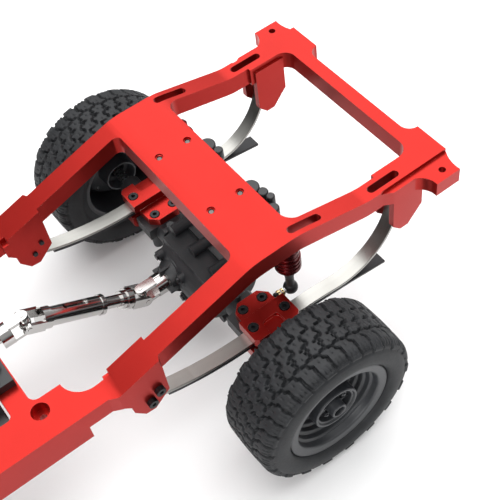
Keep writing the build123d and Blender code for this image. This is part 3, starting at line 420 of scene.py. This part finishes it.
def make_wheels():
    """One tyre and one wheel, copied to the four corners."""
    rng = random.Random(7)
    tyre = add_piece("tyre_master", tyre_mesh(rng), RUBBER, 60)
    disc = add_piece("wheel_master", wheel_bm(), WHEEL, 30)
    cut(disc, cutters_bm(0.95, 11.9, 10, -1, 4))
    bm = bmesh.new()
    bm.from_mesh(disc.data)
    add_hub_bolts(bm)
    bm.to_mesh(disc.data)
    bm.free()
    disc.data.materials.clear()
    disc.data.materials.append(WHEEL)
    shade(disc, 30)
    for end, x in AXLE_XS.items():
        for name, side in SIDES.items():
            body = "rear_wheels" if end == "rear" else f"front_{name}_roadwheel"
            for kind, master in (("tyre", tyre), ("wheel", disc)):
                piece = bpy.data.objects.new(f"{end}_{name}_{kind}_shape", master.data.copy())
                bpy.context.scene.collection.objects.link(piece)
                if kind == "wheel":
                    turn = Matrix.Rotation(-math.pi / 2 * side, 4, "X")
                else:
                    turn = Matrix.Rotation(0 if side > 0 else math.pi, 4, "Z")
                piece.data.transform(Matrix.Translation((x, wheel_y(name), AXLE_Z)) @ turn)
                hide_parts(f"{end}_{name}_{kind}")
                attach(piece, body)
    for master in (tyre, disc):
        bpy.data.objects.remove(master)


def wheel_y(name):
    """Centre plane of the wheels on one side, in metres."""
    return SIDES[name] * abs(WHEEL_Y)


# ---------------------------------------------------------------- leaf springs
LEAF_Y, LEAF_HALF, LEAF_T = 41.1, 3.0, 1.2
BEND_ENDS = (("nose", 34.0, 11.0), ("tail", -38.0, -13.0))  # half, bend changes at, bend starts at


def tangent_arc(p, q, direction, steps):
    """Points of the arc from p to q that leaves p along direction."""
    p, q, t = Vector(p), Vector(q), Vector(direction).normalized()
    normal = Vector((-t.y, t.x))
    chord = q - p
    across = chord.dot(normal)
    radius = chord.length_squared / (2 * across)
    centre = p + normal * radius
    sweep = 2 * math.atan2(across, chord.dot(t))
    start = p - centre
    out = []
    for k in range(steps + 1):
        a = sweep * k / steps
        out.append(centre + Vector((start.x * math.cos(a) - start.y * math.sin(a),
                                    start.x * math.sin(a) + start.y * math.cos(a))))
    end_dir = Vector((t.x * math.cos(sweep) - t.y * math.sin(sweep),
                      t.x * math.sin(sweep) + t.y * math.cos(sweep)))
    return out, end_dir


def leaf_lines():
    """Middle lines in X and Z from the axle centre: nose and tail of each leaf."""
    drop = LEAF_T + 0.12
    middle, low = Vector((-1.2, 40.06)), Vector((-1.2, 40.06 - drop))
    nose = [middle] + tangent_arc((10, 40.2), (57.5, 52.2), (24, 0.3), 22)[0]
    dip, heading = tangent_arc((-14, 39.9), (-30, 38.6), (-24, -0.3), 8)
    tail = [middle] + dip + tangent_arc((-30, 38.6), (-60.6, 63.5), heading, 22)[0][1:]
    helper_nose = [p - Vector((0, drop)) for p in nose if p.x <= 45.6]
    flat_end, fall_end = Vector((-14, 39.9 - drop)), Vector((-38, 36.5))
    helper_tail = [low] + [flat_end.lerp(fall_end, k / 12) for k in range(13)] + [Vector((-54.7, 34.2))]
    return {"main_nose": nose, "main_tail": tail, "helper_nose": helper_nose,
            "helper_tail": helper_tail}


def strip(bm, line, y, x0):
    """A flat strip with eased edges along a line."""
    ease = 0.14
    half, thick = LEAF_HALF, LEAF_T / 2
    section = [(-half + ease, -thick), (half - ease, -thick), (half, -thick + ease),
               (half, thick - ease), (half - ease, thick), (-half + ease, thick),
               (-half, thick - ease), (-half, -thick + ease)]
    rings = []
    for i, p in enumerate(line):
        ahead = line[min(i + 1, len(line) - 1)] - line[max(i - 1, 0)]
        t = ahead.normalized()
        normal = Vector((-t.y, t.x))
        if t.x < 0:
            normal = -normal
        rings.append([bm.verts.new(((x0 + p.x + normal.x * h) * MM, (y + w) * MM,
                                    (p.y + normal.y * h) * MM)) for w, h in section])
    for here, there in zip(rings, rings[1:]):
        for i in range(len(section)):
            j = (i + 1) % len(section)
            bm.faces.new((here[i], here[j], there[j], there[i]))
    bm.faces.new(rings[0])
    bm.faces.new(rings[-1])


def split_line(line, at):
    """Cut a line in two at the X nearest to at, sharing that point."""
    k = min(range(len(line)), key=lambda i: abs(line[i].x - at))
    return line[:k + 1], line[k:]


def make_leaves():
    """Leaves in inner and outer pieces: the outer stretch of the helper tail rides on the carrier, the rest
    stay fixed in place.
    """
    lines = leaf_lines()
    for end in AXLE_XS:
        x0 = AXLE_XS[end] / MM
        carrier, axle = f"{end}_carrier", f"{end}_axle"

        for name, side in SIDES.items():
            for kind, look, slot in (("main", STEEL, "spring_steel"), ("helper", HELPER, "black_steel")):
                node = f"{end}_{kind}_leaves"
                for half, middle, near in BEND_ENDS:
                    line = lines[f"{kind}_{half}"]
                    label = f"{end}_{name}_{kind}_{half}"
                    inner, outer = split_line(line, middle)
                    for part, stretch in (("inner", inner), ("outer", outer)):
                        bm = bmesh.new()
                        strip(bm, stretch, LEAF_Y * side, x0)
                        piece = add_piece(f"{label}_{part}", bm, look, 40)
                        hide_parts(node)
                        if part == "outer" and (kind, half) == ("helper", "tail"):
                            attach(piece, carrier)
                        elif part == "outer":
                            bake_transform(piece)
                        else:
                            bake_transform(piece)


# ---------------------------------------------------------------- finished copies of machined parts
def clean_bm(node):
    """The node's mesh with its seams joined and its flat faces whole."""
    bm = bmesh.new()
    bm.from_mesh(NODES[node].data)
    bmesh.ops.remove_doubles(bm, verts=bm.verts, dist=2e-6)
    bmesh.ops.dissolve_limit(bm, angle_limit=math.radians(1.0), verts=bm.verts, edges=bm.edges)
    return bm


def eased_copy(node, width, angle=32, smooth=30):
    """The node with eased edges, standing in for the CAD node."""
    slot_name = SLOT_OF[node]
    piece = add_piece(f"{node}_eased", clean_bm(node), LOOKS[slot_name], smooth)
    # red parts get a lighter red on their chamfers: a painted highlight
    bevel(piece, width * MM, 1, angle, RED_EDGE_HIGHLIGHT if slot_name == "red_anodised" else None)
    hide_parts(node)
    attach(piece, BODY_OF[node])
    return piece


BODY_OF = {node: body for body, members in frame["record"]["behaviour"]["bodies"].items()
           for node in members}
EASED = {                  # node: width of its eased edges, in mm
    "chassis_frame": 0.35, "rear_spring_clamps": 0.3, "front_spring_clamps": 0.3,
    "rear_spring_seats": 0.3, "front_spring_seats": 0.3, "gearbox_case": 0.4, "gearbox_cover": 0.4,
    "gearbox_bracket": 0.3, "frame_screws": 0.14, "rear_axle_fasteners": 0.14,
    "front_axle_fasteners": 0.14, "rear_shock_bodies": 0.2,
    "front_shock_bodies": 0.2, "steering_servo": 0.3, "drive_motor": 0.3,
    "rear_axle_housing": 0.35, "front_axle_housing": 0.35, "rear_diff_cover": 0.4,
    "front_diff_cover": 0.4,
}
for eased_node, eased_width in EASED.items():
    eased_copy(eased_node, eased_width)


# ---------------------------------------------------------------- small pieces on the axles and bridges
def rod(bm, start, end, radius, segments=20, top=None):
    """A closed cylinder between two places, in mm."""
    start, end = Vector(start), Vector(end)
    small_cone(bm, start, end - start, radius, (end - start).length, segments, top)


def slab(bm, low, high):
    """A closed block between two corners, in mm."""
    low, high = Vector(low), Vector(high)
    size = Matrix.Diagonal((*(high - low), 1))
    matrix = Matrix.Translation((low + high) / 2 * MM) @ size
    bmesh.ops.create_cube(bm, size=MM, matrix=matrix)


def detail(name, bm, look, slot, body, smooth=35):
    """A small piece with no CAD node of its own, riding on a body."""
    piece = add_piece(name, bm, look, smooth)
    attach(piece, body)
    return piece


NOSE_Y, AXLE_MM = -6.0, 33.4
STUD_Z, STUD_Y, CLAMP_REAR = 39.6, 32.5, -11.4


def axle_details(end):
    """Bosses, collars and screws round the nose, and the bosses under the clamp pads."""
    x0, ahead = AXLE_XS[end] / MM, 1 if end == "rear" else -1
    body = f"{end}_axle"
    bosses, screws, studs, rings = (bmesh.new() for _ in range(4))
    for dy, dz in ((-7.2, -6.0), (-7.2, 6.0), (7.6, -6.0), (7.6, 6.0)):
        y, z = NOSE_Y + dy, AXLE_MM + dz
        rod(bosses, (x0 + 6.0 * ahead, y, z), (x0 + 13.6 * ahead, y, z), 2.3, 24, 2.1)
        rod(screws, (x0 + 13.5 * ahead, y, z), (x0 + 14.5 * ahead, y, z), 1.45, 20, 1.3)
    for dy, dz in ((0, 5.6), (0, -5.6), (5.6, 0), (-5.6, 0)):
        y, z = NOSE_Y + dy, AXLE_MM + dz
        slab(bosses, (x0 + 12 * ahead, y - 0.6 - abs(dy) / 8, z - 0.6 - abs(dz) / 8),
             (x0 + 17.6 * ahead, y + 0.6 + abs(dy) / 8, z + 0.6 + abs(dz) / 8))
    for side in SIDES.values():
        rod(bosses, (x0 + 4.7, 31.0 * side, 36.4), (x0 + 4.7, 31.0 * side, 22.5), 2.5, 24, 2.2)
        rod(bosses, (x0 - 4.7, 31.0 * side, 36.4), (x0 - 4.7, 31.0 * side, 26.0), 2.2, 24, 2.0)
        rod(bosses, (x0 + 1.0, 22.5 * side, 36.0), (x0 + 1.0, 22.5 * side, 40.4), 1.9, 20, 1.6)
        face, y = x0 + CLAMP_REAR, STUD_Y * side
        rod(studs, (face, y, STUD_Z), (face - 1.1, y, STUD_Z), 1.75, 24)
        rod(studs, (face - 1.8, y, STUD_Z), (face - 2.5, y, STUD_Z), 1.6, 24)
        rod(rings, (face - 1.0, y, STUD_Z), (face - 3.6, y, STUD_Z), 1.15, 24)
    detail(f"{end}_axle_bosses", bosses, PLASTIC, "black_plastic", body)
    detail(f"{end}_nose_screws", screws, BLACK_STEEL, "black_steel", body)
    detail(f"{end}_stud_collars", studs, BRASS, "steel", body)
    detail(f"{end}_stud_necks", rings, TURNED, "steel", body)


def bridge_details(end):
    """Screw ends in the bridge holes, and the bracket under it whose lugs show behind."""
    x0 = AXLE_XS[end] / MM
    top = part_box("chassis_frame")[1].z / MM
    tips, bracket = bmesh.new(), bmesh.new()
    for x in (-11.5, 1.0):
        for y in (-16.4, 16.4):
            rod(tips, (x0 + x, y, top - 3.2), (x0 + x, y, top - 0.9), 1.0, 20, 0.85)
            rod(bracket, (x0 + x, y, top - 10.4), (x0 + x, y, top - 3.3), 2.3, 24)
    slab(bracket, (x0 - 19.5, -20, top - 14.4), (x0 + 3, -13, top - 10.4))
    slab(bracket, (x0 - 19.5, 8, top - 14.4), (x0 + 3, 23, top - 10.4))
    for x, y, radius, low, high in ((-20.2, -18.4, 3.3, 16.4, 10.2), (-22.0, -13.7, 1.9, 15.6, 10.6),
                                    (-20.2, 9.4, 3.3, 16.4, 10.2), (-22.4, 13.7, 2.1, 15.4, 10.8),
                                    (-23.0, 17.6, 1.7, 15.0, 10.2), (-20.8, 22.0, 2.3, 16.0, 11.0)):
        rod(bracket, (x0 + x, y, top - low), (x0 + x, y, top - high), radius, 28)
    piece = detail(f"{end}_bridge_bracket", bracket, PLASTIC, "black_plastic", "chassis")
    bevel(piece, 0.5 * MM, 2)
    detail(f"{end}_bridge_screw_ends", tips, SCREW_END, "steel", "chassis")


def slim_nose(end):
    """Draw the front collar of the pinion nose in to its seen size."""
    x0, ahead = AXLE_XS[end] / MM, 1 if end == "rear" else -1
    for vertex in bpy.data.objects[f"{end}_axle_housing_eased"].data.vertices:
        x, y, z = vertex.co / MM
        y, z = y - NOSE_Y, z - AXLE_MM
        if ahead * (x - x0) > 13 and math.hypot(y, z) > 5.6:
            vertex.co.y = (NOSE_Y + y * 0.76) * MM
            vertex.co.z = (AXLE_MM + z * 0.76) * MM


make_wheels()
make_leaves()
for axle_end in AXLE_XS:
    axle_details(axle_end)
    bridge_details(axle_end)
    slim_nose(axle_end)


# ---------------------------------------------------------------- floor, light and camera
CAMERA_ANGLES = (150.91, 53.19, -9.54)   # azimuth, elevation and roll, in degrees
CAMERA_PLACE = (0.0981, 0.2137, 0.3534)  # from the ground under the rear axle, in metres
CAMERA_LENS = 71.8


def area_light(name, place, target, size, power):
    """A round soft light that faces the target."""
    data = bpy.data.lights.new(name, "AREA")
    data.shape, data.size, data.energy = "DISK", size, power
    light = bpy.data.objects.new(name, data)
    light.location = place
    light.rotation_euler = (Vector(target) - Vector(place)).to_track_quat("-Z", "Y").to_euler()
    bpy.context.scene.collection.objects.link(light)


def floor():
    """A plain pale floor."""
    bm = bmesh.new()
    bmesh.ops.create_grid(bm, x_segments=1, y_segments=1, size=6.0)
    mesh = bpy.data.meshes.new("floor")
    bm.to_mesh(mesh)
    bm.free()
    plane = bpy.data.objects.new("floor", mesh)
    bpy.context.scene.collection.objects.link(plane)
    mesh.materials.append(surface("floor_paper", (0.93, 0.93, 0.93), 0.85, grain=0.02, blotch=0.004,
                                  specular=0.1))


def camera():
    """The photograph's viewpoint: behind, left of and above the rear half."""
    azimuth, elevation, roll = (math.radians(v) for v in CAMERA_ANGLES)
    back = Vector((math.sin(azimuth) * math.cos(elevation), -math.cos(azimuth) * math.cos(elevation),
                   math.sin(elevation)))
    right = Vector((math.cos(azimuth), math.sin(azimuth), 0))
    up = back.cross(right)
    x = right * math.cos(roll) + up * math.sin(roll)
    y = -right * math.sin(roll) + up * math.cos(roll)
    data = bpy.data.cameras.new("camera")
    data.sensor_width, data.lens = 36.0, CAMERA_LENS
    data.clip_start, data.clip_end = 0.02, 40
    obj = bpy.data.objects.new("camera", data)
    turn = Matrix((x, y, back)).transposed()
    place = Vector(CAMERA_PLACE) + Vector((REAR_X, 0, 0))
    obj.matrix_world = Matrix.Translation(place) @ turn.to_4x4()
    bpy.context.scene.collection.objects.link(obj)
    bpy.context.scene.camera = obj


def studio_sky():
    """A white sky that darkens towards the horizon."""
    world = bpy.data.worlds.new("studio")
    bpy.context.scene.world = world
    world.use_nodes = True
    nodes, links = world.node_tree.nodes, world.node_tree.links
    place = nodes.new("ShaderNodeTexCoord")
    height = nodes.new("ShaderNodeSeparateXYZ")
    ramp = nodes.new("ShaderNodeValToRGB")
    ramp.color_ramp.elements[0].position = 0.10
    ramp.color_ramp.elements[1].position = 0.55
    ramp.color_ramp.elements[0].color = (0.12, 0.12, 0.13, 1)
    ramp.color_ramp.elements[1].color = (1, 1, 1, 1)
    links.new(place.outputs["Generated"], height.inputs["Vector"])
    links.new(height.outputs["Z"], ramp.inputs["Fac"])
    links.new(ramp.outputs["Color"], nodes["Background"].inputs["Color"])
    nodes["Background"].inputs["Strength"].default_value = 0.55


floor()
camera()
area_light("key", (REAR_X - 0.25, -0.25, 0.95), (REAR_X + 0.02, 0, 0.05), 1.6, 17)
area_light("fill", (REAR_X + 0.9, 0.5, 0.8), (REAR_X + 0.1, 0, 0.05), 0.8, 7)
studio_sky()
bpy.context.scene.view_settings.view_transform = "Standard"
